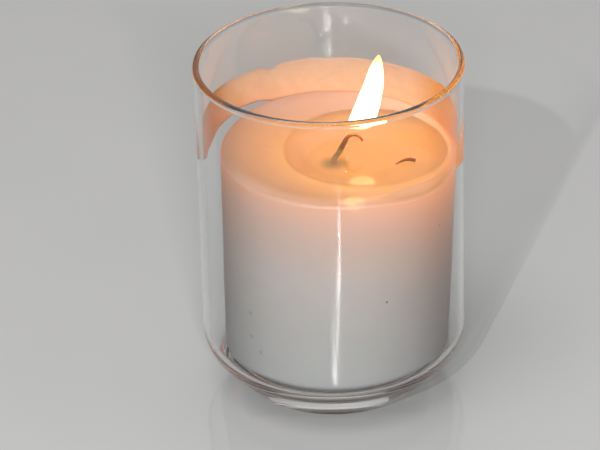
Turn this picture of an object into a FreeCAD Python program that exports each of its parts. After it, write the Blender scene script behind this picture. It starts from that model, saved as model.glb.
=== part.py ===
import FreeCAD, Part
import math
import os

from FreeCAD import Placement, Rotation, Vector

# Container candle: a cast, tapered candle standing in a straight clear glass tumbler.
# Millimetres, +Z up. The origin is on the tumbler's axis, in the plane of its foot ring.

# ---- Tumbler
RIM_RADIUS = 40.0
HEIGHT = 105.0
RIM_BEAD_RADIUS = 1.0
BEAD_NECK = 2.0
OUTER_WALL_RADIUS = 39.7
INNER_WALL_RADIUS = 38.0
HEEL_TOP = 18.0
OUTER_HEEL_RADIUS = 12.0
FLOOR_TOP = 9.5
FOOT_OUTER_RADIUS = 26.4
FOOT_WIDTH = 1.4
FOOT_EDGE_RADIUS = 2.0
PUNT_DEPTH = 0.8

# ---- Candle body: a cone frustum that leans to the right, with a level bottom
BODY_BOTTOM = Vector(0.75, 0.0, 10.9)
BODY_TOP = Vector(2.45, 0.3, 76.4)
BODY_BOTTOM_RADIUS = 33.75
BODY_TOP_RADIUS = 35.1
BODY_BOTTOM_ROUND = 3.0
BODY_RIM_ROUND = 0.8
RIM_SLOPE_RIGHT = 1.5
RIM_SLOPE_FRONT = 1.5

# ---- Burnt bowl and the molten pool in it
BOWL_LIP = 1.6
BOWL_FLARE = 0.8
BOWL_ABOVE = 3.2
POOL_TOP = 74.6
POOL_CENTRE = (10.5, 3.0)
POOL_RADIUS = 24.4
POOL_DEPTH = 8.0
BED_CENTRE = (5.0, 2.0)
BED_RADIUS = 12.0

# ---- Frozen wax bank on the glass above the body
BANK_BOTTOM = 76.4
BANK_TOP = 87.2
BANK_BOTTOM_CENTRE = (0.5, 0.0)
BANK_BOTTOM_RADIUS = 37.0
BANK_TOP_CENTRE = (0.3, 0.0)
BANK_TOP_RADIUS = 37.3
BANK_START = 72.0
BANK_END = 190.0

# ---- Wick: upright in the hard wax, then bending over as it rises through the pool
WICK_RADIUS = 0.8
WICK_BEND_START = 66.1
WICK_BEND_RADIUS = 22.1
WICK_LEAN = 27.0
CHAR_STRAIGHT = 3.56
CURL_RADIUS = 2.5
CURL_TURN = 150.0

# ---- Wick sustainer
TAB_RADIUS = 7.5
TAB_THICKNESS = 0.3
NECK_RADIUS = 1.6
NECK_HEIGHT = 6.0

# ---- Burnt trimming afloat in the pool
TRIMMING_CENTRE = Vector(22.6, -6.4, 71.2)
TRIMMING_RADIUS = 0.4
TRIMMING_BEND_RADIUS = 4.2
TRIMMING_HALF_ANGLE = 46.0
TRIMMING_TURN = 8.0
TRIMMING_TILT = 12.0

# ---- Working values: larger than the object, a cut's spare length, and as good as touching
REACH = 200.0
SPARE = 5.0
CLOSE = 1e-6
UP = Vector(0, 0, 1)
ORIGIN = Vector(0, 0, 0)


def profile_point(radius, height):
    """A point of a section in the XZ plane."""
    return Vector(radius, 0, height)


def on_circle(centre, radius, degrees):
    """A point of a circle in the XZ plane; 0 degrees is outwards and 90 is up."""
    angle = math.radians(degrees)
    return centre + Vector(radius * math.cos(angle), 0, radius * math.sin(angle))


def arc_edge(centre, radius, start, end):
    """An arc of a circle in the XZ plane, from start to end degrees."""
    middle = on_circle(centre, radius, (start + end) / 2)
    arc = Part.Arc(on_circle(centre, radius, start), middle, on_circle(centre, radius, end))
    return arc.toShape()


def line_edge(start, end):
    return Part.LineSegment(start, end).toShape()


def closed_wire(edges):
    """The edges as one wire, with straight lines across the gaps between them."""
    joined = []
    for index, edge in enumerate(edges):
        joined.append(edge)
        gap_start = edge.lastVertex(True).Point
        gap_end = edges[(index + 1) % len(edges)].firstVertex(True).Point
        if gap_start.distanceToPoint(gap_end) > CLOSE:
            joined.append(line_edge(gap_start, gap_end))
    return Part.Wire(joined)


def tangent_angle(small_centre, small_radius, large_centre, large_radius):
    """The angle at which one line touches both circles from below and outside."""
    span = large_centre - small_centre
    slope = math.degrees(math.atan2(span.z, span.x))
    return slope - math.degrees(math.acos((small_radius - large_radius) / span.Length))


def circle_wire(centre, radius, normal=UP):
    return Part.Wire(Part.makeCircle(radius, centre, normal))


def half_space(point, outward):
    """A large box that fills the side of a plane that outward points to."""
    box = Part.makeBox(REACH, REACH, REACH, Vector(-REACH / 2, -REACH / 2, 0))
    box.Placement = Placement(point, Rotation(UP, outward)) * box.Placement
    return box


def body_axis():
    axis = BODY_TOP - BODY_BOTTOM
    return axis.normalize()


def rim_normal():
    """The normal of the body's rim plane, which falls to the right and to the front."""
    right = math.tan(math.radians(RIM_SLOPE_RIGHT))
    front = math.tan(math.radians(RIM_SLOPE_FRONT))
    return Vector(right, -front, 1).normalize()


def make_tumbler():
    foot_centre = profile_point(FOOT_OUTER_RADIUS, FOOT_EDGE_RADIUS)
    heel_centre = profile_point(OUTER_WALL_RADIUS - OUTER_HEEL_RADIUS, HEEL_TOP)
    flank = tangent_angle(foot_centre, FOOT_EDGE_RADIUS, heel_centre, OUTER_HEEL_RADIUS)
    bead_centre = profile_point(RIM_RADIUS - RIM_BEAD_RADIUS, HEIGHT - RIM_BEAD_RADIUS)
    neck = profile_point(OUTER_WALL_RADIUS, HEIGHT - BEAD_NECK)
    inner_heel_radius = HEEL_TOP - FLOOR_TOP
    inner_heel_centre = profile_point(INNER_WALL_RADIUS - inner_heel_radius, HEEL_TOP)
    punt_centre = profile_point(FOOT_OUTER_RADIUS - FOOT_WIDTH, PUNT_DEPTH)
    section = [
        arc_edge(punt_centre, PUNT_DEPTH, 180, 270),
        arc_edge(foot_centre, FOOT_EDGE_RADIUS, -90, flank),
        arc_edge(heel_centre, OUTER_HEEL_RADIUS, flank, 0),
        line_edge(profile_point(OUTER_WALL_RADIUS, HEEL_TOP), neck),
        arc_edge(bead_centre, RIM_BEAD_RADIUS, 0, 180),
        arc_edge(inner_heel_centre, inner_heel_radius, 0, -90),
        line_edge(profile_point(0, FLOOR_TOP), profile_point(0, PUNT_DEPTH)),
    ]
    return Part.Face(closed_wire(section)).revolve(ORIGIN, UP, 360)


def make_bank():
    """Frozen wax on the glass: thick at its foot, thin at its top, widest on the left."""
    height = BANK_TOP - BANK_BOTTOM
    stock = Part.makeCylinder(INNER_WALL_RADIUS, height, Vector(0, 0, BANK_BOTTOM))
    hollow_outlines = [
        circle_wire(Vector(*BANK_BOTTOM_CENTRE, BANK_BOTTOM), BANK_BOTTOM_RADIUS),
        circle_wire(Vector(*BANK_TOP_CENTRE, BANK_TOP), BANK_TOP_RADIUS),
    ]
    hollow = Part.makeLoft(hollow_outlines, True, True)
    # The bank covers only part of the circle, so a wedge of that angle keeps it.
    wedge = Part.makeCylinder(
        REACH, height, Vector(0, 0, BANK_BOTTOM), UP, BANK_END - BANK_START
    )
    wedge.rotate(ORIGIN, UP, BANK_START)
    return stock.cut(hollow).common(wedge)


def bowl_sections():
    """The bowl's outlines, from above the rim down to its bed."""
    lip_radius = BODY_TOP_RADIUS - BOWL_LIP
    normal = rim_normal()
    return [
        circle_wire(BODY_TOP + normal * BOWL_ABOVE, lip_radius + BOWL_FLARE, normal),
        circle_wire(BODY_TOP, lip_radius, normal),
        circle_wire(Vector(*POOL_CENTRE, POOL_TOP), POOL_RADIUS),
        circle_wire(Vector(*BED_CENTRE, POOL_TOP - POOL_DEPTH), BED_RADIUS),
    ]


def make_solid_body():
    """The candle before it burnt, with its edges rounded."""
    axis = body_axis()
    length = (BODY_TOP - BODY_BOTTOM).Length
    growth = (BODY_TOP_RADIUS - BODY_BOTTOM_RADIUS) / length
    cone = Part.makeCone(
        BODY_BOTTOM_RADIUS - growth * SPARE,
        BODY_TOP_RADIUS + growth * SPARE,
        length + 2 * SPARE,
        BODY_BOTTOM - axis * SPARE,
        axis,
    )
    below = half_space(BODY_BOTTOM, UP * -1)
    above = half_space(BODY_TOP, rim_normal())
    body = cone.cut(below).cut(above)
    rim_edge = max(body.Edges, key=lambda edge: edge.CenterOfMass.z)
    body = body.makeFillet(BODY_RIM_ROUND, [rim_edge])
    bottom_edge = min(body.Edges, key=lambda edge: edge.CenterOfMass.z)
    return body.makeFillet(BODY_BOTTOM_ROUND, [bottom_edge])


def make_pool_stock():
    sections = bowl_sections()[2:]
    return Part.makeLoft(sections, True, True)


def make_bowl_stock():
    return Part.makeLoft(bowl_sections(), True, True)


def wick_heading(degrees):
    """Unit vector in the XZ plane, leaning to the right of upright."""
    angle = math.radians(degrees)
    return Vector(math.sin(angle), 0, math.cos(angle))


def wick_bend_point(degrees):
    """A point of the wick's bend, where it leans by that angle."""
    upright = Vector(BODY_BOTTOM.x, BODY_BOTTOM.y, WICK_BEND_START)
    centre = upright + Vector(WICK_BEND_RADIUS, 0, 0)
    return centre + wick_heading(degrees - 90) * WICK_BEND_RADIUS


def make_braid():
    """The waxed wick, from the tab up to where the charring starts."""
    bend_points = [wick_bend_point(WICK_LEAN * share) for share in (0, 0.5, 1)]
    straight = line_edge(BODY_BOTTOM, bend_points[0])
    bend = Part.Arc(*bend_points).toShape()
    section = circle_wire(BODY_BOTTOM, WICK_RADIUS)
    return Part.Wire([straight, bend]).makePipeShell([section], True, True)


def make_char():
    """The burnt end of the wick: it goes on straight, then curls over."""
    start = wick_bend_point(WICK_LEAN)
    bend = start + wick_heading(WICK_LEAN) * CHAR_STRAIGHT
    centre = bend + wick_heading(WICK_LEAN + 90) * CURL_RADIUS

    def curl_point(degrees):
        return centre + wick_heading(WICK_LEAN - 90 + degrees) * CURL_RADIUS

    curl = Part.Arc(bend, curl_point(CURL_TURN / 2), curl_point(CURL_TURN)).toShape()
    path = Part.Wire([line_edge(start, bend), curl])
    section = circle_wire(start, WICK_RADIUS, wick_heading(WICK_LEAN))
    return path.makePipeShell([section], True, True)


def make_sustainer():
    """Tin plate tab with a neck crimped round the wick."""
    tab = Part.makeCylinder(TAB_RADIUS, TAB_THICKNESS, BODY_BOTTOM)
    neck = Part.makeCylinder(NECK_RADIUS, NECK_HEIGHT, BODY_BOTTOM)
    return tab.fuse(neck).removeSplitter()


def make_trimming():
    """A short arched piece of burnt wick, half in the pool, with its right end higher."""
    ends = (90 + TRIMMING_HALF_ANGLE, 90 - TRIMMING_HALF_ANGLE)
    arch = arc_edge(ORIGIN, TRIMMING_BEND_RADIUS, *ends)
    start = on_circle(ORIGIN, TRIMMING_BEND_RADIUS, ends[0])
    section = circle_wire(start, TRIMMING_RADIUS, wick_heading(-TRIMMING_HALF_ANGLE + 90))
    tube = Part.Wire([arch]).makePipeShell([section], True, True)
    tube.rotate(ORIGIN, Vector(0, -1, 0), TRIMMING_TILT)
    tube.rotate(ORIGIN, UP, TRIMMING_TURN)
    tube.translate(TRIMMING_CENTRE)
    return tube


def main():
    bowl = make_bowl_stock()
    braid = make_braid()
    char = make_char()
    trimming = make_trimming()
    sustainer = make_sustainer()
    # What stands in the wax and the pool leaves its own hollow in them.
    inserts = braid.fuse(sustainer)
    nodes = {
        "glass_tumbler": make_tumbler(),
        "wax_wall_ring": make_bank(),
        "wax_body": make_solid_body().cut(bowl).cut(inserts),
        "melt_pool": make_pool_stock().cut(braid).cut(char).cut(trimming),
        "wick_braid": braid,
        "wick_char": char,
        "wick_sustainer": sustainer.cut(braid),
        "wick_trimming": trimming,
    }
    os.makedirs("parts", exist_ok=True)
    for name, shape in nodes.items():
        solids = shape.Solids
        shape = solids[0] if len(solids) == 1 else Part.makeCompound(solids)
        print(f"{name}: {len(solids)} solid, {shape.Volume:.1f} mm3, valid {shape.isValid()}")
        shape.exportStep(f"parts/{name}.step")


main()
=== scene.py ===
import math

import bpy
from mathutils import Matrix, Vector, noise


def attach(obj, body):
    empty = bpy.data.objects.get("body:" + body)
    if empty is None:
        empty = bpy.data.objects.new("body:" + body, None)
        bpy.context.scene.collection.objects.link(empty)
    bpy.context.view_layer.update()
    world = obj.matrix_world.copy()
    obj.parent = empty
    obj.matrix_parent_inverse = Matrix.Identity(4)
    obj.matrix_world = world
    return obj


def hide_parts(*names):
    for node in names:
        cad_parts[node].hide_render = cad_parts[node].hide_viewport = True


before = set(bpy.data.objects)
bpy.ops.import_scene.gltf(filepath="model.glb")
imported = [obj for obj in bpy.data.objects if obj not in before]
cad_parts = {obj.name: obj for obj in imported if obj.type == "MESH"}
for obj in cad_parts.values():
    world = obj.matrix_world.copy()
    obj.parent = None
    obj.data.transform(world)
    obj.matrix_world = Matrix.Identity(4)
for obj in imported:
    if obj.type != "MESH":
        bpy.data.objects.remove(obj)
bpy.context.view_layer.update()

# Lengths below are in millimetres, in the CAD frame, unless a name says otherwise.
MM = 0.001
CRISP = 0.08
TAU = 2 * math.pi

# ---- Tumbler
RIM_RADIUS = 40.0
HEIGHT = 105.0
BEAD_RADIUS = 1.0
BEAD_NECK = 2.0
OUTER_WALL = 39.7
INNER_WALL = 38.0
HEEL_TOP = 18.0
OUTER_HEEL = 12.0
FLOOR_TOP = 9.5
FOOT_OUTER = 26.4
FOOT_WIDTH = 1.4
FOOT_EDGE = 2.0
PUNT = 0.8

# ---- Candle body
BODY_BOTTOM = Vector((0.75, 0.0, 10.9))
BODY_TOP = Vector((2.45, 0.3, 76.4))
BOTTOM_RADIUS = 33.75
TOP_RADIUS = 35.1
BOTTOM_ROUND = 3.0
RIM_ROUND = 1.1
RIM_SLOPE = math.tan(math.radians(1.5))
POOL_TOP = 74.6
POOL_CENTRE = Vector((10.5, 3.0))
POOL_RADIUS = 24.4
POOL_DEPTH = 8.0
BED_CENTRE = Vector((5.0, 2.0))
BED_RADIUS = 12.0

# ---- Wick
WICK_RADIUS = 0.8
WICK_BEND_START = 66.1
WICK_BEND_RADIUS = 22.1
WICK_LEAN = math.radians(27.0)
CHAR_STRAIGHT = 3.56
CURL_RADIUS = 2.5
CURL_TURN = math.radians(150.0)
TAB_RADIUS = 7.5
TAB_THICKNESS = 0.3
NECK_RADIUS = 1.6
NECK_HEIGHT = 6.0
TRIMMING_CENTRE = Vector((22.6, -6.4, 71.2))
TRIMMING_RADIUS = 0.4
TRIMMING_BEND = 4.2
TRIMMING_HALF = math.radians(46.0)
TRIMMING_TURN = math.radians(8.0)
TRIMMING_TILT = math.radians(12.0)


# ---------------------------------------------------------------- mesh helpers
def smooth(t):
    """0 to 1 with a level start and end."""
    t = min(max(t, 0.0), 1.0)
    return t * t * (3 - 2 * t)


def bump(distance, width):
    """1 at distance 0, falling smoothly to 0 at width."""
    return 1 - smooth(abs(distance) / width)


def rough(x, y, z, scale, seed=0.0):
    """Smooth noise from -1 to 1 whose features are about scale millimetres wide."""
    return noise.noise(Vector((x / scale + seed, y / scale - seed, z / scale + 2 * seed)))


def angle_gap(a, b):
    """The smaller angle between two directions, in degrees."""
    return abs((a - b + 180) % 360 - 180)


def mesh_piece(name, verts, faces, material, body, nodes=()):
    """A new mesh from points in millimetres that rides on a body and stands for CAD nodes."""
    mesh = bpy.data.meshes.new(name)
    mesh.from_pydata([tuple(c * MM for c in v) for v in verts], [], faces)
    mesh.validate()
    for polygon in mesh.polygons:
        polygon.use_smooth = True
    mesh.materials.append(material)
    piece = bpy.data.objects.new(name, mesh)
    bpy.context.scene.collection.objects.link(piece)
    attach(piece, body)
    if nodes:
        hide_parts(*nodes)
    return piece


def skin(rows, closed_rows=False):
    """Vertices and faces through rings of points; a row with one point is a pole."""
    verts, faces, starts = [], [], []
    for row in rows:
        starts.append(len(verts))
        verts.extend(row)
    pairs = list(zip(range(len(rows)), range(1, len(rows))))
    if closed_rows:
        pairs.append((len(rows) - 1, 0))
    for low, high in pairs:
        a, b = starts[low], starts[high]
        n, m = len(rows[low]), len(rows[high])
        for k in range(max(n, m)):
            k2 = (k + 1) % max(n, m)
            if n == 1:
                faces.append((a, b + k2, b + k))
            elif m == 1:
                faces.append((a + k, a + k2, b))
            else:
                faces.append((a + k, a + k2, b + k2, b + k))
    return verts, faces


def arc(centre, radius, start, end, steps):
    """Points of a section arc, from start to end degrees."""
    points = []
    for i in range(steps + 1):
        a = math.radians(start + (end - start) * i / steps)
        points.append((centre[0] + radius * math.cos(a), centre[1] + radius * math.sin(a)))
    return points


def straight(start, end, steps):
    """Points strictly between start and end."""
    return [
        tuple(s + (e - s) * i / steps for s, e in zip(start, end)) for i in range(1, steps)
    ]


def between(start, end, steps):
    """Points between start and end, with one close to each end to keep the shading crisp."""
    start, end = Vector(start), Vector(end)
    close = (end - start).normalized() * CRISP
    inside = straight(start, end, steps)
    return [tuple(start + close)] + inside + [tuple(end - close)]


def frames_along(path):
    """Unit tangent and two normals at each point of a path, without twist."""
    frames = []
    side = None
    for i, point in enumerate(path):
        tangent = (path[min(i + 1, len(path) - 1)] - path[max(i - 1, 0)]).normalized()
        if side is None:
            side = tangent.orthogonal().normalized()
        side = (side - tangent * side.dot(tangent)).normalized()
        frames.append((tangent, side, tangent.cross(side)))
    return frames


def tube(path, radius_at, sides):
    """Closed rings along a path; radius_at takes the share along it and the angle."""
    rows = [[path[0]]]
    last = len(path) - 1
    for i, (point, (tangent, side, up)) in enumerate(zip(path, frames_along(path))):
        ring = []
        for k in range(sides):
            a = TAU * k / sides
            r = radius_at(i / last, a)
            ring.append(point + side * (r * math.cos(a)) + up * (r * math.sin(a)))
        rows.append(ring)
    rows.append([path[-1]])
    return skin(rows)


def joined(parts):
    """Several (verts, faces) as one."""
    verts, faces = [], []
    for part_verts, part_faces in parts:
        offset = len(verts)
        verts.extend(part_verts)
        faces.extend(tuple(i + offset for i in face) for face in part_faces)
    return verts, faces


# ---------------------------------------------------------------- material helpers
class Nodes:
    """A material and short ways to add its nodes."""

    def __init__(self, name):
        self.material = bpy.data.materials.new(name)
        self.material.use_nodes = True
        self.tree = self.material.node_tree
        self.shader = self.tree.nodes["Principled BSDF"]
        self.output = self.tree.nodes["Material Output"]
        self.place = self.add("ShaderNodeTexCoord").outputs["Object"]

    def add(self, kind, **settings):
        node = self.tree.nodes.new(kind)
        for key, value in settings.items():
            setattr(node, key, value)
        return node

    def link(self, source, target):
        self.tree.links.new(source, target)

    def feed(self, target, value):
        """Links a socket, or sets a plain value."""
        if isinstance(value, bpy.types.NodeSocket):
            self.link(value, target)
        else:
            target.default_value = value

    def set(self, **values):
        for key, value in values.items():
            self.feed(self.shader.inputs[key.replace("_", " ")], value)

    def noise(self, size_mm, detail=3.0, roughness=0.5, stretch=(1, 1, 1), distortion=0.0):
        mapping = self.add("ShaderNodeMapping")
        mapping.inputs["Scale"].default_value = stretch
        self.link(self.place, mapping.inputs["Vector"])
        node = self.add("ShaderNodeTexNoise")
        node.inputs["Scale"].default_value = 1 / (size_mm * MM)
        node.inputs["Detail"].default_value = detail
        node.inputs["Roughness"].default_value = roughness
        node.inputs["Distortion"].default_value = distortion
        self.link(mapping.outputs[0], node.inputs["Vector"])
        return node.outputs["Fac"]

    def cells(self, size_mm):
        node = self.add("ShaderNodeTexVoronoi")
        node.inputs["Scale"].default_value = 1 / (size_mm * MM)
        self.link(self.place, node.inputs["Vector"])
        return node.outputs["Distance"]

    def ramp(self, source, low, high, start=0.0, end=1.0, curve="SMOOTHSTEP"):
        """source from low..high becomes start..end."""
        node = self.add("ShaderNodeMapRange", interpolation_type=curve)
        self.link(source, node.inputs["Value"])
        node.inputs["From Min"].default_value = low
        node.inputs["From Max"].default_value = high
        node.inputs["To Min"].default_value = start
        node.inputs["To Max"].default_value = end
        return node.outputs["Result"]

    def colours(self, source, stops):
        """A colour ramp: stops are (position, (r, g, b))."""
        node = self.add("ShaderNodeValToRGB")
        elements = node.color_ramp.elements
        while len(elements) < len(stops):
            elements.new(0.5)
        for element, (position, colour) in zip(elements, stops):
            element.position = position
            element.color = (*colour, 1.0)
        self.link(source, node.inputs["Fac"])
        return node.outputs["Color"]

    def mix(self, factor, first, second):
        node = self.add("ShaderNodeMix", data_type="RGBA")
        self.feed(node.inputs["Factor"], factor)
        for socket, value in ((node.inputs["A"], first), (node.inputs["B"], second)):
            self.feed(
                next(s for s in node.inputs if s.type == "RGBA" and s.name == socket.name),
                value if isinstance(value, bpy.types.NodeSocket) else (*value, 1.0),
            )
        return next(s for s in node.outputs if s.type == "RGBA")

    def maths(self, operation, *values):
        node = self.add("ShaderNodeMath", operation=operation)
        for socket, value in zip(node.inputs, values):
            self.feed(socket, value)
        return node.outputs[0]

    def distance(self, point):
        """Distance in metres from a point given in millimetres."""
        node = self.add("ShaderNodeVectorMath", operation="DISTANCE")
        self.link(self.place, node.inputs[0])
        node.inputs[1].default_value = tuple(c * MM for c in point)
        return node.outputs["Value"]

    def axis(self, name):
        node = self.add("ShaderNodeSeparateXYZ")
        self.link(self.place, node.inputs[0])
        return node.outputs[name]

    def upward(self):
        """How far the surface faces up, from -1 to 1."""
        node = self.add("ShaderNodeSeparateXYZ")
        self.link(self.add("ShaderNodeNewGeometry").outputs["Normal"], node.inputs[0])
        return node.outputs["Z"]

    def relief(self, height, depth_mm, strength):
        node = self.add("ShaderNodeBump")
        node.inputs["Distance"].default_value = depth_mm * MM
        node.inputs["Strength"].default_value = strength
        self.link(height, node.inputs["Height"])
        self.link(node.outputs["Normal"], self.shader.inputs["Normal"])

    def pass_lamp_light(self, tint):
        """Lamps shine through: light on its way from a lamp meets a tinted clear shader."""
        clear = self.add("ShaderNodeBsdfTransparent")
        facing = self.add("ShaderNodeLayerWeight")
        facing.inputs["Blend"].default_value = 0.5
        glancing = self.ramp(facing.outputs["Facing"], 0.25, 1.0, 0.0, 0.55, "LINEAR")
        self.link(self.mix(glancing, tint, (0.0, 0.0, 0.0)), clear.inputs["Color"])
        path = self.add("ShaderNodeLightPath")
        mixer = self.add("ShaderNodeMixShader")
        self.link(path.outputs["Is Shadow Ray"], mixer.inputs[0])
        self.link(self.shader.outputs[0], mixer.inputs[1])
        self.link(clear.outputs[0], mixer.inputs[2])
        self.link(mixer.outputs[0], self.output.inputs["Surface"])


# ---------------------------------------------------------------- materials
# Places and heights that the colours depend on, and how far each reaches.
FLAME_FOOT = (9.0, 0.3, 80.0)
FLAME_LOW = 79
FLAME_HIGH = 106
FLAME_CLEAR_ABOVE = 85.2
FLAME_CLEAR_BELOW = 83.7
EMBER = (9.9, 0.3, 78.5)
GLOW_CENTRE = (11.0, 1.0, 78.0)
GLOW_REACH = 62
GLOW_CORE = 14
GLOW_TOP = 76
GLOW_FADE = 15
WICK_DARK_SPOT = (0.9, 0.0, 66.6)
WICK_DARK_REACH = 6.0
LIP_GLOW_SPOT = (6.5, -31.6, 76.2)
LIP_GLOW_REACH = 4.6
WAX_SPECK_AND_PIT_SHADE = [
    # centre, size, strength
    ((15.3, -31.3, 41.4), 0.42, 0.95),
    ((-24.3, -22.5, 33.5), 0.9, 0.22),
    ((-24.3, -22.6, 25.7), 0.9, 0.2),
    ((-21.7, -25.2, 21.6), 0.8, 0.2),
    ((30.9, -19.2, 60.1), 0.7, 0.3),
    ((12.8, -33.4, 75.0), 0.4, 0.5),
    ((-26.0, -20.3, 77.0), 0.9, 0.2),
    ((-15.8, -29.7, 76.6), 0.8, 0.2),
]


def glass_material():
    m = Nodes("clear_soda_glass")
    smears = m.noise(14.0, detail=4.0, stretch=(1, 1, 0.45), distortion=0.6)
    m.set(
        Base_Color=m.colours(
            m.noise(30.0), [(0.3, (0.975, 0.985, 0.978)), (0.7, (0.992, 0.995, 0.992))]
        ),
        Roughness=m.ramp(smears, 0.56, 0.8, 0.0, 0.045),
        IOR=1.5,
    )
    m.set(Transmission_Weight=1.0)
    m.relief(m.noise(26.0, detail=1.0, stretch=(1, 1, 0.4)), 0.03, 0.5)
    m.pass_lamp_light((0.965, 0.97, 0.965))
    return m.material


def wax_material():
    m = Nodes("cast_white_wax")
    height = m.axis("Z")
    top = m.ramp(m.upward(), 0.1, 1.02, 0.0, 1.0, "LINEAR")
    mottle = m.noise(9.0, detail=4.0, roughness=0.6)
    grain = m.noise(1.1, detail=3.0)
    # Painted flame light: the side's colour turns darker and warmer towards the rim.
    side_wax = m.colours(m.ramp(height, 45 * MM, 74 * MM, 0.0, 1.0), [
        (0.0, (0.80, 0.81, 0.805)), (1.0, (0.70, 0.67, 0.64))
    ])
    side_wax = m.mix(m.ramp(height, 71 * MM, 77 * MM, 0.0, 1.0), side_wax, (0.68, 0.58, 0.53))
    side_wax = m.mix(m.ramp(mottle, 0.35, 0.75, 0.0, 0.10), side_wax, (0.62, 0.61, 0.60))
    # Painted flame light: the wax round and under the pool is coloured warmer the nearer it is to
    # the glow's centre.
    near = m.ramp(m.distance(GLOW_CENTRE), GLOW_REACH * MM, GLOW_CORE * MM, 0.0, 1.0)
    top_wax = m.colours(near, [
        (0.35, (0.48, 0.32, 0.225)), (0.75, (0.49, 0.305, 0.18)), (1.0, (0.50, 0.305, 0.16))
    ])
    # Painted flame light on the ledge: less near the rim at the front, which is paler, and more
    # on the right, which is more orange.
    outer = m.maths(
        "MULTIPLY",
        m.ramp(m.distance(BODY_TOP), 28.5 * MM, 34 * MM, 0.0, 1.0),
        m.ramp(m.axis("Y"), -6 * MM, -24 * MM, 0.0, 1.0),
    )
    outer = m.maths("MULTIPLY", outer, m.ramp(m.axis("X"), 6 * MM, 24 * MM, 1.0, 0.35))
    top_wax = m.mix(outer, top_wax, (0.78, 0.56, 0.46))
    top_wax = m.mix(m.ramp(m.axis("X"), 26 * MM, 33 * MM, 0.0, 1.0), top_wax, (0.43, 0.20, 0.09))
    # Painted shade at the back of the ledge: a greyer colour with less painted flame light.
    at_back = m.ramp(m.axis("Y"), 12 * MM, 27 * MM, 0.0, 1.0)
    top_wax = m.mix(at_back, top_wax, (0.54, 0.44, 0.41))
    top_wax = m.mix(m.ramp(mottle, 0.35, 0.75, 0.0, 0.30), top_wax, (0.58, 0.37, 0.26))
    # Painted flame light: faces that turn up take the warm top colours, faces that turn sideways
    # the paler side colours.
    wax = m.mix(top, side_wax, top_wax)
    # The wax is darker round the wick's foot, and glows less there.
    dark_round_wick = m.ramp(m.distance(WICK_DARK_SPOT), 0.4 * MM, WICK_DARK_REACH * MM, 0.85, 0.0)
    wax = m.mix(dark_round_wick, wax, (0.20, 0.10, 0.001))
    # Small flaws from casting and handling: a dark speck, and a few shallow pits whose shade is
    # painted as faint dark spots.
    for point, size, strength in WAX_SPECK_AND_PIT_SHADE:
        spot = m.ramp(m.distance(point), size * 0.5 * MM, size * 1.1 * MM, strength, 0.0)
        wax = m.mix(spot, wax, (0.06, 0.05, 0.045))
    # Flame light in the wax fades down from the rim and is strongest on the flame's side.
    depth = m.maths("DIVIDE", m.maths("SUBTRACT", height, GLOW_TOP * MM), GLOW_FADE * MM)
    nearer_side = m.ramp(m.axis("X"), -28 * MM, 33 * MM, 0.34, 0.90, "LINEAR")
    side_glow = m.colours(m.maths("MULTIPLY", nearer_side, m.maths("EXPONENT", depth)), [
        (0.0, (0.0, 0.0, 0.0)), (1.0, (1.0, 0.26, 0.015))
    ])
    top_glow = m.colours(near, [
        (0.0, (0.0, 0.0, 0.0)),
        (0.38, (0.17, 0.045, 0.003)),
        (0.74, (0.42, 0.135, 0.011)),
        (0.94, (0.60, 0.235, 0.027)),
        (1.0, (0.66, 0.275, 0.033)),
    ])
    # Painted shade: less glow painted towards the back.
    top_glow = m.mix(m.ramp(m.axis("Y"), 12 * MM, 27 * MM, 0.0, 0.42), top_glow, (0.0, 0.0, 0.0))
    top_glow = m.mix(dark_round_wick, top_glow, (0.20, 0.085, 0.004))
    # Painted light: a warm glow painted as emission on the front of the rim.
    lip_glow = m.ramp(m.distance(LIP_GLOW_SPOT), LIP_GLOW_REACH * MM, 1.5 * MM, 0.0, 1.0)
    lip_glow = m.maths("MULTIPLY", lip_glow, m.ramp(mottle, 0.35, 0.6, 0.3, 1.0))
    m.set(
        Base_Color=wax,
        Roughness=m.ramp(grain, 0.3, 0.7, 0.42, 0.56),
        Subsurface_Weight=0.55,
        Subsurface_Radius=(6.0, 3.2, 1.8),
        Subsurface_Scale=MM,
        IOR=1.44,
        Emission_Color=m.mix(lip_glow, m.mix(top, side_glow, top_glow), (0.80, 0.48, 0.16)),
        Emission_Strength=1.0,
    )
    lumps = m.noise(5.0, detail=5.0)
    m.relief(m.maths("ADD", lumps, m.maths("MULTIPLY", grain, 0.35)), 0.12, 0.5)
    return m.material


def frozen_wax_material():
    m = Nodes("wax_frozen_on_glass")
    cloud = m.noise(4.0, detail=4.0, roughness=0.6, stretch=(1, 1, 1.6))
    # Painted flame light: the same wax is coloured darker orange on the left and right and paler
    # at the back.
    back = m.colours(cloud, [(0.3, (0.68, 0.46, 0.35)), (0.7, (0.74, 0.52, 0.41))])
    left = m.colours(cloud, [(0.3, (0.42, 0.155, 0.015)), (0.7, (0.52, 0.205, 0.03))])
    right = m.colours(cloud, [(0.3, (0.52, 0.17, 0.015)), (0.7, (0.60, 0.22, 0.035))])
    across = m.axis("X")
    wax = m.mix(m.ramp(across, -29 * MM, -36.5 * MM, 0.0, 1.0), back, left)
    wax = m.mix(m.ramp(across, 24 * MM, 36 * MM, 0.0, 1.0), wax, right)
    m.set(
        Base_Color=wax,
        Roughness=m.ramp(cloud, 0.3, 0.7, 0.34, 0.5),
        Subsurface_Weight=0.6,
        Subsurface_Radius=(5.0, 2.6, 1.4),
        Subsurface_Scale=MM,
        IOR=1.44,
        # Painted flame light: the wax glows more the nearer it is to the flame's foot.
        Emission_Color=m.colours(
            m.ramp(m.distance(FLAME_FOOT), 56 * MM, 24 * MM, 0.0, 1.0, "LINEAR"),
            [(0.0, (0.04, 0.012, 0.003)), (1.0, (0.45, 0.16, 0.045))],
        ),
        Emission_Strength=0.8,
    )
    m.relief(cloud, 0.12, 0.35)
    return m.material


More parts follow.
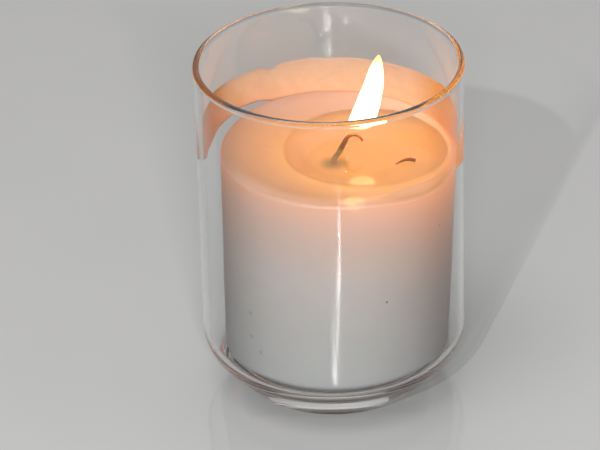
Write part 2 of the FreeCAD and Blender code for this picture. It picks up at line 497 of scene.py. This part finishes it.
def liquid_material():
    m = Nodes("molten_wax_liquid")
    m.set(
        Base_Color=m.colours(
            m.noise(12.0), [(0.3, (0.98, 0.86, 0.62)), (0.7, (0.985, 0.89, 0.70))]
        ),
        Roughness=m.ramp(m.noise(8.0), 0.4, 0.7, 0.06, 0.10),
        IOR=1.43,
    )
    m.set(Transmission_Weight=1.0)
    m.relief(m.noise(10.0, detail=1.0), 0.05, 0.5)
    m.pass_lamp_light((0.96, 0.90, 0.80))
    return m.material


def waxed_cotton_material():
    m = Nodes("waxed_cotton_braid")
    fibre = m.noise(0.35, detail=4.0, stretch=(1, 1, 0.25))
    soaked = m.ramp(m.axis("Z"), 54 * MM, 64 * MM, 0.0, 1.0)
    clean = m.colours(fibre, [(0.3, (0.50, 0.46, 0.34)), (0.7, (0.72, 0.68, 0.54))])
    dirty = m.colours(fibre, [(0.3, (0.40, 0.19, 0.005)), (0.7, (0.62, 0.34, 0.02))])
    m.set(
        Base_Color=m.mix(soaked, clean, dirty),
        Roughness=m.ramp(fibre, 0.3, 0.7, 0.45, 0.65),
        Specular_IOR_Level=0.12,
    )
    m.relief(fibre, 0.08, 0.7)
    return m.material


def charred_material(name, ember_at=None):
    m = Nodes(name)
    flakes = m.noise(0.45, detail=5.0, roughness=0.7)
    ash = m.noise(1.3, detail=3.0)
    # The char is coloured lighter and more orange than bare char: warm flame light is painted
    # into it.
    coal_and_flame_light = m.colours(flakes, [(0.3, (0.32, 0.055, 0.001)), (0.75, (0.56, 0.17, 0.004))])
    m.set(
        Base_Color=m.mix(m.ramp(ash, 0.55, 0.75, 0.0, 0.6), coal_and_flame_light, (0.56, 0.27, 0.03)),
        Roughness=m.ramp(flakes, 0.3, 0.7, 0.62, 0.92),
        Specular_IOR_Level=0.05,
    )
    if ember_at is not None:
        heat = m.ramp(m.distance(ember_at), 3.2 * MM, 0.4 * MM, 0.0, 1.0)
        m.set(
            Emission_Color=m.colours(
                m.maths("MULTIPLY", heat, m.ramp(flakes, 0.3, 0.7, 0.35, 1.0)),
                [(0.0, (0.0, 0.0, 0.0)), (0.5, (0.20, 0.03, 0.004)), (1.0, (0.9, 0.25, 0.04))],
            ),
            Emission_Strength=1.2,
        )
    m.relief(flakes, 0.18, 0.9)
    return m.material


def tinplate_material():
    m = Nodes("tin_plated_steel")
    brushed = m.noise(1.2, detail=4.0, stretch=(1, 6, 1))
    spangle = m.cells(2.4)
    m.set(
        Base_Color=m.mix(
            m.ramp(spangle, 0.1, 0.7, 0.0, 0.35), (0.72, 0.71, 0.68), (0.50, 0.49, 0.47)
        ),
        Metallic=1.0,
        Roughness=m.ramp(brushed, 0.3, 0.7, 0.24, 0.42),
    )
    m.relief(brushed, 0.02, 0.5)
    return m.material


def flame_material():
    m = Nodes("candle_flame")
    height = m.axis("Z")
    share = m.ramp(height, FLAME_LOW * MM, FLAME_HIGH * MM, 0.0, 1.0, "LINEAR")
    colour = m.colours(share, [
        (0.0, (0.10, 0.16, 0.55)),
        (0.10, (1.0, 0.72, 0.36)),
        (0.35, (1.0, 0.80, 0.42)),
        (0.75, (1.0, 0.78, 0.36)),
        (1.0, (1.0, 0.42, 0.09)),
    ])
    wisp = m.noise(5.0, detail=2.0, stretch=(1, 1, 0.3))
    strength = m.maths(
        "MULTIPLY", m.ramp(share, 0.05, 0.22, 0.6, 5.0), m.ramp(wisp, 0.2, 0.8, 0.85, 1.1)
    )
    light = m.add("ShaderNodeEmission")
    m.link(colour, light.inputs["Color"])
    m.link(strength, light.inputs["Strength"])
    facing = m.add("ShaderNodeLayerWeight")
    facing.inputs["Blend"].default_value = 0.5
    edge = m.ramp(facing.outputs["Facing"], 0.55, 1.0, 0.0, 1.0)
    # The foot of a candle flame is dark and clear.
    foot = m.ramp(height, FLAME_CLEAR_ABOVE * MM, FLAME_CLEAR_BELOW * MM, 0.0, 1.0)
    veil = m.maths("MAXIMUM", edge, foot)
    clear = m.add("ShaderNodeBsdfTransparent")
    mixer = m.add("ShaderNodeMixShader")
    m.link(veil, mixer.inputs[0])
    m.link(light.outputs[0], mixer.inputs[1])
    m.link(clear.outputs[0], mixer.inputs[2])
    m.link(mixer.outputs[0], m.output.inputs["Surface"])
    m.tree.nodes.remove(m.shader)
    return m.material


# ---------------------------------------------------------------- tumbler
def tumbler_section():
    """The wall's section from the middle of the underside round to the middle of the floor."""
    foot = (FOOT_OUTER, FOOT_EDGE)
    heel = (OUTER_WALL - OUTER_HEEL, HEEL_TOP)
    span = Vector(heel) - Vector(foot)
    slope = math.degrees(math.atan2(span.y, span.x))
    flank = slope - math.degrees(math.acos((FOOT_EDGE - OUTER_HEEL) / span.length))
    punt = (FOOT_OUTER - FOOT_WIDTH, PUNT)
    bead = (RIM_RADIUS - BEAD_RADIUS, HEIGHT - BEAD_RADIUS)
    inner_heel = HEEL_TOP - FLOOR_TOP
    neck = (OUTER_WALL, HEIGHT - BEAD_NECK)
    points = [(0.0, PUNT)]
    points += straight((0.0, PUNT), (punt[0] - PUNT, PUNT), 6)
    points += arc(punt, PUNT, 180, 270, 5)
    points += arc(foot, FOOT_EDGE, -90, flank, 12)
    points += straight(points[-1], arc(heel, OUTER_HEEL, flank, 0, 1)[0], 4)
    points += arc(heel, OUTER_HEEL, flank, 0, 30)
    points += between((OUTER_WALL, HEEL_TOP), neck, 24)
    points += [neck]
    points += between(neck, (RIM_RADIUS, bead[1]), 3)
    points += arc(bead, BEAD_RADIUS, 0, 180, 28)
    points += between((INNER_WALL, bead[1]), (INNER_WALL, HEEL_TOP), 26)
    points += arc((INNER_WALL - inner_heel, HEEL_TOP), inner_heel, 0, -90, 26)
    points += between((INNER_WALL - inner_heel, FLOOR_TOP), (0.0, FLOOR_TOP), 5)
    points += [(0.0, FLOOR_TOP)]
    return points


def make_tumbler(material):
    rows = []
    sides = 256
    for radius, height in tumbler_section():
        if radius < 1e-6:
            rows.append([(0.0, 0.0, height)])
            continue
        ring = []
        for k in range(sides):
            a = TAU * k / sides
            # Pressed glass is never quite even: a wave of a few hundredths of a millimetre.
            r = radius - 0.025 * (0.5 + 0.5 * math.sin(3 * a + height / 17)) * smooth(height / 20)
            ring.append((r * math.cos(a), r * math.sin(a), height))
        rows.append(ring)
    verts, faces = skin(rows)
    mesh_piece(
        "tumbler_glass", verts, faces, material, "tumbler", ["glass_tumbler"]
    )


# ---------------------------------------------------------------- wax on the glass
FILM_START = -20.0
FILM_END = 191.0
FILM_TOP = 81.5
FILM_TOP_RISE = 5.6
FILM_FOOT = 73.6
FILM_THICKNESS = 0.9
FILM_THICKER_LEFT = 0.5
FILM_IN_GLASS = 0.06
NOTCH_AT = 117
NOTCH_DEPTH = 1.3
CREVICE_FROM = 104
CREVICE_HEIGHT = 3.2
LEFT_FOOT_FROM = 150
LEFT_FOOT_DROP = 2.0


def film_thickness(azimuth):
    """How thick the frozen wax is at its foot: a little more on the left."""
    return FILM_THICKNESS - FILM_THICKER_LEFT * math.cos(math.radians(azimuth))


def make_film(material):
    """A closed band along the wall: each column is a section from the glass inwards."""
    columns = 300
    levels = 14
    rows = []
    for i in range(columns + 1):
        azimuth = FILM_START + (FILM_END - FILM_START) * i / columns
        a = math.radians(azimuth)
        ends = smooth((azimuth - FILM_START) / 14) * smooth((FILM_END - azimuth) / 10)
        x, y = math.cos(a) * INNER_WALL, math.sin(a) * INNER_WALL
        top = FILM_TOP + FILM_TOP_RISE * ends ** 0.6 + 0.35 * rough(x, y, 0, 9.0, 3.1)
        top -= NOTCH_DEPTH * bump(angle_gap(azimuth, NOTCH_AT), 5.5)
        # It reaches down behind the candle's rim, but on the left it stops above a crevice.
        crevice = smooth((azimuth - CREVICE_FROM) / 26)
        foot = FILM_FOOT + CREVICE_HEIGHT * crevice
        foot -= LEFT_FOOT_DROP * smooth((azimuth - LEFT_FOOT_FROM) / 20)
        foot += 0.4 * rough(x, y, 5, 7.0, 8.2)
        foot += 2.0 * (1 - ends)
        thick = film_thickness(azimuth) * (0.35 + 0.65 * ends)
        section = []
        for j in range(levels + 1):
            t = j / levels
            section.append((INNER_WALL + FILM_IN_GLASS, foot + (top - foot) * t))
        for j in range(levels, -1, -1):
            t = j / levels
            z = foot + (top - foot) * t
            swell = thick * ((1 - t) ** 1.25 * 0.78 + 0.22 * (1 - t ** 6))
            swell *= smooth((t + 0.08) / 0.16) * 0.35 + 0.65
            swell += 0.12 * rough(x, y, z, 5.0, 1.7) * min(thick, 1.0)
            section.append((INNER_WALL - max(swell, 0.03), z))
        rows.append([(r * math.cos(a), r * math.sin(a), z) for r, z in section])

    def middle(row):
        return [tuple(sum(p[i] for p in row) / len(row) for i in range(3))]

    rows = [middle(rows[0])] + rows + [middle(rows[-1])]
    verts, faces = skin(rows)
    faces = [tuple(reversed(face)) for face in faces]
    mesh_piece(
        "wax_frozen_ring", verts, faces, material, "tumbler", ["wax_wall_ring"]
    )


# ---------------------------------------------------------------- candle
DROOP_DEPTH = 1.5
DROOP_AT = -42
DROOP_HALF_WIDTH = 34
RIDGE_HEIGHT = 0.9
RIDGE_AT = -52
LUMPS_AT = -78
SHORE_BELOW_POOL = 0.12


def azimuth_on_body(x, y):
    return math.degrees(math.atan2(y - BODY_TOP.y, x - BODY_TOP.x))


def droop(x, y):
    """How far the softened rim has sagged at the front right."""
    return DROOP_DEPTH * bump(angle_gap(azimuth_on_body(x, y), DROOP_AT), DROOP_HALF_WIDTH)


def rim_height(x, y):
    level = BODY_TOP.z - RIM_SLOPE * (x - BODY_TOP.x) + RIM_SLOPE * (y - BODY_TOP.y)
    return level - droop(x, y)


def axis_at(z):
    return BODY_BOTTOM.lerp(BODY_TOP, (z - BODY_BOTTOM.z) / (BODY_TOP.z - BODY_BOTTOM.z))


def body_radius(z):
    share = (z - BODY_BOTTOM.z) / (BODY_TOP.z - BODY_BOTTOM.z)
    return BOTTOM_RADIUS + (TOP_RADIUS - BOTTOM_RADIUS) * share


def pool_edge(a):
    """The shore's radius about the pool's centre, with the wander a melted edge has."""
    x, y = math.cos(a), math.sin(a)
    return POOL_RADIUS + 0.55 * rough(x * 20, y * 20, 0, 9.0, 5.5) - 0.3


def shore(a, extra=0.0):
    r = pool_edge(a) + extra
    return Vector((POOL_CENTRE.x + r * math.cos(a), POOL_CENTRE.y + r * math.sin(a)))


def rim_point(a, inset):
    r = TOP_RADIUS - inset
    return Vector((BODY_TOP.x + r * math.cos(a), BODY_TOP.y + r * math.sin(a)))


def bed_point(a, share):
    r = BED_RADIUS * share
    return Vector((BED_CENTRE.x + r * math.cos(a), BED_CENTRE.y + r * math.sin(a)))


def ledge_height(point, t):
    """Height of the soft ledge between the rim, t 0, and the shore, t 1."""
    sag = droop(point.x, point.y)
    edge = rim_height(point.x, point.y) + sag
    low = POOL_TOP - SHORE_BELOW_POOL
    z = edge + (low - edge) * (0.18 * t + 0.82 * smooth(t * 1.02))
    z -= sag * (1 - smooth(t / 0.3))
    azimuth = azimuth_on_body(point.x, point.y)
    # A ridge of wax that has run down to the front right and set there.
    z += RIDGE_HEIGHT * bump(angle_gap(azimuth, RIDGE_AT), 26) * bump(t - 0.34, 0.24)
    lumps = bump(angle_gap(azimuth, LUMPS_AT), 11) * bump(t - 0.08, 0.14)
    z += lumps * (0.45 + 0.5 * rough(point.x, point.y, 0, 2.4, 3.9))
    z += 0.22 * rough(point.x, point.y, 0, 7.0, 2.3) * smooth(t * 4) * smooth((1 - t) * 5)
    z += 0.07 * rough(point.x, point.y, 0, 2.2, 9.3) * smooth(t * 5) * smooth((1 - t) * 6)
    return z


def body_rows(sides):
    rows = [[(BODY_BOTTOM.x, BODY_BOTTOM.y, BODY_BOTTOM.z + TAB_THICKNESS + 0.05)]]
    angles = [TAU * k / sides for k in range(sides)]

    def ring(radius, z):
        centre = axis_at(z)
        return [
            (centre.x + radius * math.cos(a), centre.y + radius * math.sin(a), z) for a in angles
        ]

    # The recess that the wick's tab sits in, then the level bottom.
    recess = BODY_BOTTOM.z + TAB_THICKNESS + 0.05
    rows.append(ring(TAB_RADIUS + 0.05, recess))
    rows.append(ring(TAB_RADIUS + 0.06, BODY_BOTTOM.z + 0.05))
    rows.append(ring(TAB_RADIUS + 0.15, BODY_BOTTOM.z))
    for share in (0.4, 0.6, 0.8, 0.93):
        rows.append(ring((BOTTOM_RADIUS - BOTTOM_ROUND) * share, BODY_BOTTOM.z))
    for i in range(9):
        a = math.pi / 2 * i / 8
        z = BODY_BOTTOM.z + BOTTOM_ROUND * (1 - math.cos(a))
        rows.append(ring(body_radius(z) - BOTTOM_ROUND + BOTTOM_ROUND * math.sin(a), z))
    # The side, up to just below the sloping rim.
    low = BODY_BOTTOM.z + BOTTOM_ROUND
    steps = 44
    for i in range(1, steps + 1):
        t = i / steps
        row = []
        for a in angles:
            top = rim_point(a, 0)
            z = low + (rim_height(top.x, top.y) - RIM_ROUND - low) * t
            centre = axis_at(z)
            x, y = math.cos(a), math.sin(a)
            r = body_radius(z)
            r += 0.06 * rough(x * r, y * r, z, 16.0, 4.4) * smooth(t * 6)
            r += 0.02 * rough(x * r, y * r, z, 4.0, 6.4)
            row.append((centre.x + r * x, centre.y + r * y, z))
        rows.append(row)
    # Over the rim.
    for i in range(1, 7):
        b = math.pi / 2 * i / 6
        row = []
        for a in angles:
            p = rim_point(a, RIM_ROUND * (1 - math.cos(b)))
            z = rim_height(p.x, p.y) - RIM_ROUND * (1 - math.sin(b))
            row.append((p.x, p.y, z + 0.05 * rough(p.x, p.y, 0, 5.0, 7.7)))
        rows.append(row)
    # The ledge, down to the shore.
    steps = 26
    for i in range(1, steps + 1):
        t = i / steps
        row = []
        for a in angles:
            p = rim_point(a, RIM_ROUND).lerp(shore(a), t)
            row.append((p.x, p.y, ledge_height(p, t)))
        rows.append(row)
    # The bowl under the pool, down to its bed.
    steps = 14
    for i in range(1, steps + 1):
        t = i / steps
        row = []
        for a in angles:
            p = shore(a).lerp(bed_point(a, 1.0), t)
            z = bowl_height(t) + 0.15 * rough(p.x, p.y, 0, 6.0, 1.1) * smooth(t * 3)
            row.append((p.x, p.y, z))
        rows.append(row)
    for share in (0.8, 0.55, 0.3, 0.12):
        row = []
        for a in angles:
            p = bed_point(a, share)
            row.append((p.x, p.y, POOL_TOP - POOL_DEPTH - 0.25 * (1 - share)))
        rows.append(row)
    rows.append([(BED_CENTRE.x, BED_CENTRE.y, POOL_TOP - POOL_DEPTH - 0.27)])
    return rows


def bowl_height(t):
    """Height of the bowl from the shore, t 0, to the bed's edge, t 1."""
    depth = POOL_DEPTH - SHORE_BELOW_POOL
    return POOL_TOP - SHORE_BELOW_POOL - depth * (0.30 * t + 0.70 * smooth(t))


def make_body(material):
    verts, faces = skin(body_rows(288))
    mesh_piece("candle_wax", verts, faces, material, "candle", ["wax_body"])


MENISCUS = 0.10
WICK_MENISCUS = 0.35


def make_pool(material):
    """The liquid: its surface curls up at the shore, and its underside dips into the wax."""
    sides = 192
    angles = [TAU * k / sides for k in range(sides)]
    overlap = 0.35
    rows = [[(POOL_CENTRE.x, POOL_CENTRE.y, POOL_TOP)]]
    wick = bend_point(math.asin((POOL_TOP - WICK_BEND_START) / WICK_BEND_RADIUS))
    for share in (0.04, 0.1, 0.16, 0.22, 0.28, 0.34, 0.40, 0.46, 0.52, 0.6, 0.68, 0.76, 0.84,
                  0.90, 0.94, 0.965, 0.98, 0.99, 1.0):
        row = []
        for a in angles:
            r = (pool_edge(a) + overlap) * share
            x = POOL_CENTRE.x + r * math.cos(a)
            y = POOL_CENTRE.y + r * math.sin(a)
            inside = pool_edge(a) - r
            z = POOL_TOP + MENISCUS * math.exp(-max(inside, 0.0) / 0.9)
            from_wick = math.hypot(x - wick.x, y - wick.y) - WICK_RADIUS
            z += WICK_MENISCUS * math.exp(-max(from_wick, 0.0) / 0.8)
            row.append((x, y, z))
        rows.append(row)
    for i in range(0, 11):
        t = i / 10
        row = []
        for a in angles:
            p = shore(a, overlap).lerp(bed_point(a, 1.0), t)
            row.append((p.x, p.y, bowl_height(t) - overlap))
        rows.append(row)
    for share in (0.66, 0.33):
        rows.append([(*bed_point(a, share), POOL_TOP - POOL_DEPTH - 0.55) for a in angles])
    rows.append([(*BED_CENTRE, POOL_TOP - POOL_DEPTH - 0.6)])
    verts, faces = skin(rows)
    faces = [tuple(reversed(face)) for face in faces]
    mesh_piece(
        "melted_wax_pool", verts, faces, material, "candle", ["melt_pool"]
    )


# ---------------------------------------------------------------- wick
def heading(angle):
    """Unit vector that leans to the right of upright."""
    return Vector((math.sin(angle), 0, math.cos(angle)))


def bend_point(angle):
    """The point of the wick's bend where it leans by that angle."""
    centre = Vector((BODY_BOTTOM.x + WICK_BEND_RADIUS, BODY_BOTTOM.y, WICK_BEND_START))
    return centre + heading(angle - math.pi / 2) * WICK_BEND_RADIUS


def braid_path():
    """The centreline of the waxed wick: upright in the hard wax, then bending to the right."""
    low = BODY_BOTTOM + Vector((0, 0, 0.4))
    points = [low.lerp(bend_point(0), i / 30) for i in range(30)]
    return points + [bend_point(WICK_LEAN * i / 14) for i in range(15)]


def char_path(steps):
    """The centreline of the burnt end: straight on, then a curl."""
    start = bend_point(WICK_LEAN)
    along = heading(WICK_LEAN)
    bend = start + along * CHAR_STRAIGHT
    centre = bend + heading(WICK_LEAN + math.pi / 2) * CURL_RADIUS
    points = [start + along * (CHAR_STRAIGHT * i / 8) for i in range(-1, 8)]
    for i in range(steps + 1):
        a = WICK_LEAN - math.pi / 2 + CURL_TURN * i / steps
        points.append(centre + heading(a) * CURL_RADIUS)
    return points


def resampled(path, step):
    """Points a fixed step apart along a path."""
    points = [path[0]]
    spare = 0.0
    for a, b in zip(path, path[1:]):
        length = (b - a).length
        at = step - spare
        while at <= length:
            points.append(a.lerp(b, at / length))
            at += step
        spare = length - (at - step)
    return points


def braid(path, radius, strands, pitch, strand_radius):
    """Strands that wind both ways round a path and pass over and under each other."""
    step = 0.12
    points = resampled(path, step)
    frames = frames_along(points)
    parts = []
    for s in range(strands):
        way = 1 if s % 2 == 0 else -1
        phase = TAU * (s // 2) / (strands // 2)
        line = []
        for i, (point, (tangent, side, up)) in enumerate(zip(points, frames)):
            a = phase + way * TAU * i * step / pitch
            weave = 0.14 * math.cos(strands / 2 * a + (0 if way > 0 else math.pi))
            r = radius - strand_radius + weave * strand_radius
            line.append(point + side * (r * math.cos(a)) + up * (r * math.sin(a)))
        parts.append(tube(line, lambda t, b: strand_radius, 8))
    core = tube(points, lambda t, b: radius - strand_radius * 1.1, 14)
    return joined([core] + parts)


def lumpy(path, radius, seed, end_taper):
    """A burnt strand: uneven, cracked and thinner to its end."""
    points = resampled(path, 0.09)

    def radius_at(t, a):
        fine = rough(math.cos(a) * 1.4, math.sin(a) * 1.4, t * 24, 0.8, seed)
        coarse = rough(math.cos(a), math.sin(a), t * 9, 1.4, seed + 3)
        twist = 0.06 * math.cos(4 * a + t * 34)
        taper = 1 - end_taper * smooth((t - 0.1) / 0.7)
        closing = min(1.0, (1 - t) * 26 + 0.25) * min(1.0, t * 30 + 0.25)
        return radius * taper * closing * (0.97 + 0.13 * fine + 0.10 * coarse + twist)

    return tube(points, radius_at, 20)


def make_wick(cotton, char):
    verts, faces = braid(braid_path(), WICK_RADIUS * 1.06, 8, 5.2, 0.33)
    mesh_piece(
        "wick_waxed_braid", verts, faces, cotton, "candle", ["wick_braid"]
    )
    verts, faces = lumpy(char_path(26), WICK_RADIUS * 0.95, 2.0, 0.46)
    mesh_piece(
        "wick_charred_curl", verts, faces, char, "candle", ["wick_char"]
    )


def make_trimming(char):
    points = []
    for i in range(25):
        a = math.pi / 2 + TRIMMING_TILT + TRIMMING_HALF * (1 - 2 * i / 24)
        x = TRIMMING_BEND * math.cos(a)
        points.append(TRIMMING_CENTRE + Vector((
            x * math.cos(TRIMMING_TURN), x * math.sin(TRIMMING_TURN), TRIMMING_BEND * math.sin(a)
        )))
    points.reverse()
    verts, faces = lumpy(points, TRIMMING_RADIUS * 1.4, 6.0, 0.45)
    mesh_piece(
        "wick_trimming_afloat", verts, faces, char, "candle", ["wick_trimming"]
    )


def make_sustainer(tin):
    """A pressed tab: a flat disc with a rolled edge, a stiffening bead and a crimped neck."""
    axis = (BODY_TOP - BODY_BOTTOM).normalized()
    t = TAB_THICKNESS
    # Radius and height of the disc from the underside, over the edge and up into the neck.
    profile = [
        (0.95, 0.0), (2.3, 0.0), (3.6, 0.0), (4.3, 0.0), (6.9, 0.0), (7.35, 0.02),
        (TAB_RADIUS, 0.12), (TAB_RADIUS, t - 0.08), (7.42, t), (6.2, t), (5.6, t + 0.12),
        (5.0, t + 0.16), (4.4, t + 0.12), (3.8, t), (2.6, t), (2.1, t + 0.25),
        (1.75, t + 0.8), (NECK_RADIUS, t + 1.6),
    ]
    rows = []
    sides = 72
    angles = [TAU * k / sides for k in range(sides)]
    x, y, z = BODY_BOTTOM
    for r, h in profile:
        rows.append([(x + r * math.cos(a), y + r * math.sin(a), z + h) for a in angles])
    for h in (2.4, 3.0, 3.6, 4.2, 4.8, 5.4, NECK_HEIGHT):
        centre = BODY_BOTTOM + axis * h
        ring = []
        for a in angles:
            crimp = 0.28 * bump(h - 4.2, 1.5) * max(math.cos(2 * a), 0.0)
            r = NECK_RADIUS - crimp
            ring.append((centre.x + r * math.cos(a), centre.y + r * math.sin(a), centre.z))
        rows.append(ring)
    # Back down inside the neck.
    bore = 1.0
    for h in (NECK_HEIGHT, 4.8, 3.0, 1.5):
        x, y, z = BODY_BOTTOM + axis * h
        rows.append([(x + bore * math.cos(a), y + bore * math.sin(a), z) for a in angles])
    verts, faces = skin(rows, closed_rows=True)
    mesh_piece(
        "wick_sustainer_tab", verts, faces, tin, "candle", ["wick_sustainer"]
    )


# ---------------------------------------------------------------- flame
FLAME_Y = 0.3
FLAME_FLATTENING = 0.92
FLAME_STATIONS = [
    # centre x, height, radius
    (7.0, 79.6, 0.3),
    (7.2, 80.0, 1.5),
    (7.7, 81.0, 2.6),
    (8.5, 82.7, 3.45),
    (9.7, 85.5, 3.95),
    (10.7, 88.4, 3.85),
    (11.4, 90.5, 3.68),
    (12.1, 93.2, 3.42),
    (12.65, 95.0, 3.22),
    (13.2, 97.3, 2.88),
    (13.6, 99.7, 2.48),
    (14.0, 102.2, 1.95),
    (14.4, 104.3, 1.25),
    (14.65, 105.6, 0.6),
    (14.75, 106.3, 0.08),
]


def catmull(points, steps):
    """A smooth curve through points, as steps values between each pair."""
    out = []
    for i in range(len(points) - 1):
        p0 = points[max(i - 1, 0)]
        p1, p2 = points[i], points[i + 1]
        p3 = points[min(i + 2, len(points) - 1)]
        for j in range(steps):
            t = j / steps
            out.append(tuple(
                0.5 * (2 * b + (c - a) * t + (2 * a - 5 * b + 4 * c - d) * t * t
                       + (3 * b - a - 3 * c + d) * t ** 3)
                for a, b, c, d in zip(p0, p1, p2, p3)
            ))
    out.append(points[-1])
    return out


def make_flame(material):
    sides = 48
    tip = 0.1
    rows = []
    curve = catmull(FLAME_STATIONS, 5)
    rows.append([(curve[0][0], FLAME_Y, curve[0][1] - tip)])
    for x, z, radius in curve:
        depth = radius * FLAME_FLATTENING
        row = []
        for k in range(sides):
            a = TAU * k / sides
            row.append((x + radius * math.cos(a), FLAME_Y + depth * math.sin(a), z))
        rows.append(row)
    rows.append([(curve[-1][0], FLAME_Y, curve[-1][1] + tip)])
    verts, faces = skin(rows)
    flame = mesh_piece("candle_flame", verts, faces, material, "candle")
    flame.visible_shadow = False


# ---------------------------------------------------------------- stage, light and camera
def stage_material():
    m = Nodes("pale_floor")
    m.set(
        Base_Color=m.colours(
            m.noise(60.0, detail=3.0), [(0.35, (0.80, 0.80, 0.80)), (0.65, (0.82, 0.82, 0.815))]
        ),
        Roughness=0.06,
    )
    return m.material


def make_stage():
    size = 3.0
    corners = [(-size, -size, 0), (size, -size, 0), (size, size, 0), (-size, size, 0)]
    mesh = bpy.data.meshes.new("floor")
    mesh.from_pydata(corners, [], [(0, 1, 2, 3)])
    mesh.materials.append(stage_material())
    floor = bpy.data.objects.new("floor", mesh)
    bpy.context.scene.collection.objects.link(floor)


def lamp(name, kind, place, power, size, colour):
    data = bpy.data.lights.new(name, kind)
    data.energy = power
    data.color = colour
    if kind == "AREA":
        data.shape = "DISK"
        data.size = size
    else:
        data.shadow_soft_size = size
    made = bpy.data.objects.new(name, data)
    made.location = place
    made.rotation_euler = (Vector(LAMP_AIM) - Vector(place)).to_track_quat("-Z", "Y").to_euler()
    bpy.context.scene.collection.objects.link(made)
    return made


# The lamps' places and sizes are in metres, and their powers in watts.
SOFT_LAMPS = [
    # name, place, power, size, colour
    ("top_softbox", (-0.35, -0.35, 1.6), 5.0, 0.9, (1.0, 0.99, 0.98)),
    ("fill_softbox", (1.1, -0.3, 0.9), 0.4, 0.8, (0.96, 0.98, 1.0)),
    ("back_softbox", (0.1, 1.3, 0.85), 2.6, 1.4, (1.0, 0.98, 0.95)),
    ("front_lamp", (-0.30, -1.1, 0.75), 3.9, 0.02, (1.0, 1.0, 1.0)),
]
FLAME_LIGHT = (0.0115, 0.0003, 0.0915)
LAMP_AIM = (0, 0, 0.05)
STRIP_Y = -1.06
STRIPS = [
    # name, start and end (x, z), width, power; together they make the long streak on the glass
    ("strip_low", (0.112, 0.490), (0.116, 0.518), 0.036, 0.8),
    ("strip_bend", (0.115, 0.516), (0.058, 0.556), 0.022, 1.5),
    ("strip_high", (0.060, 0.555), (0.014, 0.589), 0.018, 1.3),
    ("strip_foot", (0.016, 0.588), (-0.065, 0.606), 0.018, 1.8),
]


def strip_lamp(name, start, end, width, power):
    """A narrow lamp between two points of an upright plane in front of the object."""
    low, high = (Vector((x, STRIP_Y, z)) for x, z in (start, end))
    made = lamp(name, "AREA", (low + high) / 2, power, width, (1.0, 1.0, 1.0))
    made.data.shape = "RECTANGLE"
    made.data.size_y = (high - low).length
    along = (high - low).normalized()
    back = (made.location - Vector(LAMP_AIM)).normalized()
    across = along.cross(back).normalized()
    turn = Matrix((across, along, across.cross(along))).transposed()
    made.rotation_euler = turn.to_euler()


def make_lights():
    for name, place, power, size, colour in SOFT_LAMPS:
        lamp(name, "AREA", place, power, size, colour)
    for name, start, end, width, power in STRIPS:
        strip_lamp(name, start, end, width, power)
    glow = lamp("flame_light", "POINT", FLAME_LIGHT, 0.022, 0.003, (1.0, 0.36, 0.08))
    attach(glow, "candle")
    world = bpy.data.worlds.new("studio")
    bpy.context.scene.world = world
    world.use_nodes = True
    background = world.node_tree.nodes["Background"]
    background.inputs["Color"].default_value = (0.82, 0.82, 0.82, 1.0)
    background.inputs["Strength"].default_value = 0.16


# The camera's distance and target are in metres, and its lens in millimetres.
CAMERA_DISTANCE = 1.212
CAMERA_TARGET = 0.045
CAMERA_ELEVATION = math.radians(29.206)
CAMERA_YAW = math.radians(0.520)
CAMERA_PITCH = math.radians(28.990)
CAMERA_ROLL = math.radians(-1.527)
CAMERA_LENS = 242.3


def make_camera():
    place = Vector((0, -CAMERA_DISTANCE * math.cos(CAMERA_ELEVATION),
                    CAMERA_DISTANCE * math.sin(CAMERA_ELEVATION) + CAMERA_TARGET))
    ahead = Vector((-math.sin(CAMERA_YAW) * math.cos(CAMERA_PITCH),
                    math.cos(CAMERA_YAW) * math.cos(CAMERA_PITCH), -math.sin(CAMERA_PITCH)))
    right = Vector((math.cos(CAMERA_YAW), math.sin(CAMERA_YAW), 0))
    up = right.cross(ahead)
    turned_right = math.cos(CAMERA_ROLL) * right + math.sin(CAMERA_ROLL) * up
    turned_up = -math.sin(CAMERA_ROLL) * right + math.cos(CAMERA_ROLL) * up
    data = bpy.data.cameras.new("camera")
    data.sensor_width = 36
    data.lens = CAMERA_LENS
    data.clip_end = 100
    camera = bpy.data.objects.new("camera", data)
    bpy.context.scene.collection.objects.link(camera)
    turn = Matrix((turned_right, turned_up, -ahead)).transposed().to_4x4()
    turn.translation = place
    camera.matrix_world = turn
    bpy.context.scene.camera = camera


def set_view():
    scene = bpy.context.scene
    scene.view_settings.view_transform = "Standard"
    # Light turns many times inside the rim's bead and the thick base.
    scene.cycles.max_bounces = 96
    scene.cycles.transmission_bounces = 96
    scene.cycles.glossy_bounces = 64
    scene.cycles.sample_clamp_indirect = 40
    scene.cycles.caustics_reflective = False
    scene.cycles.caustics_refractive = False


char = charred_material("charred_cotton_curl", ember_at=EMBER)
make_tumbler(glass_material())
make_film(frozen_wax_material())
make_body(wax_material())
make_pool(liquid_material())
make_wick(waxed_cotton_material(), char)
make_trimming(charred_material("charred_cotton_trimming"))
make_sustainer(tinplate_material())
make_flame(flame_material())
make_stage()
make_lights()
make_camera()
set_view()
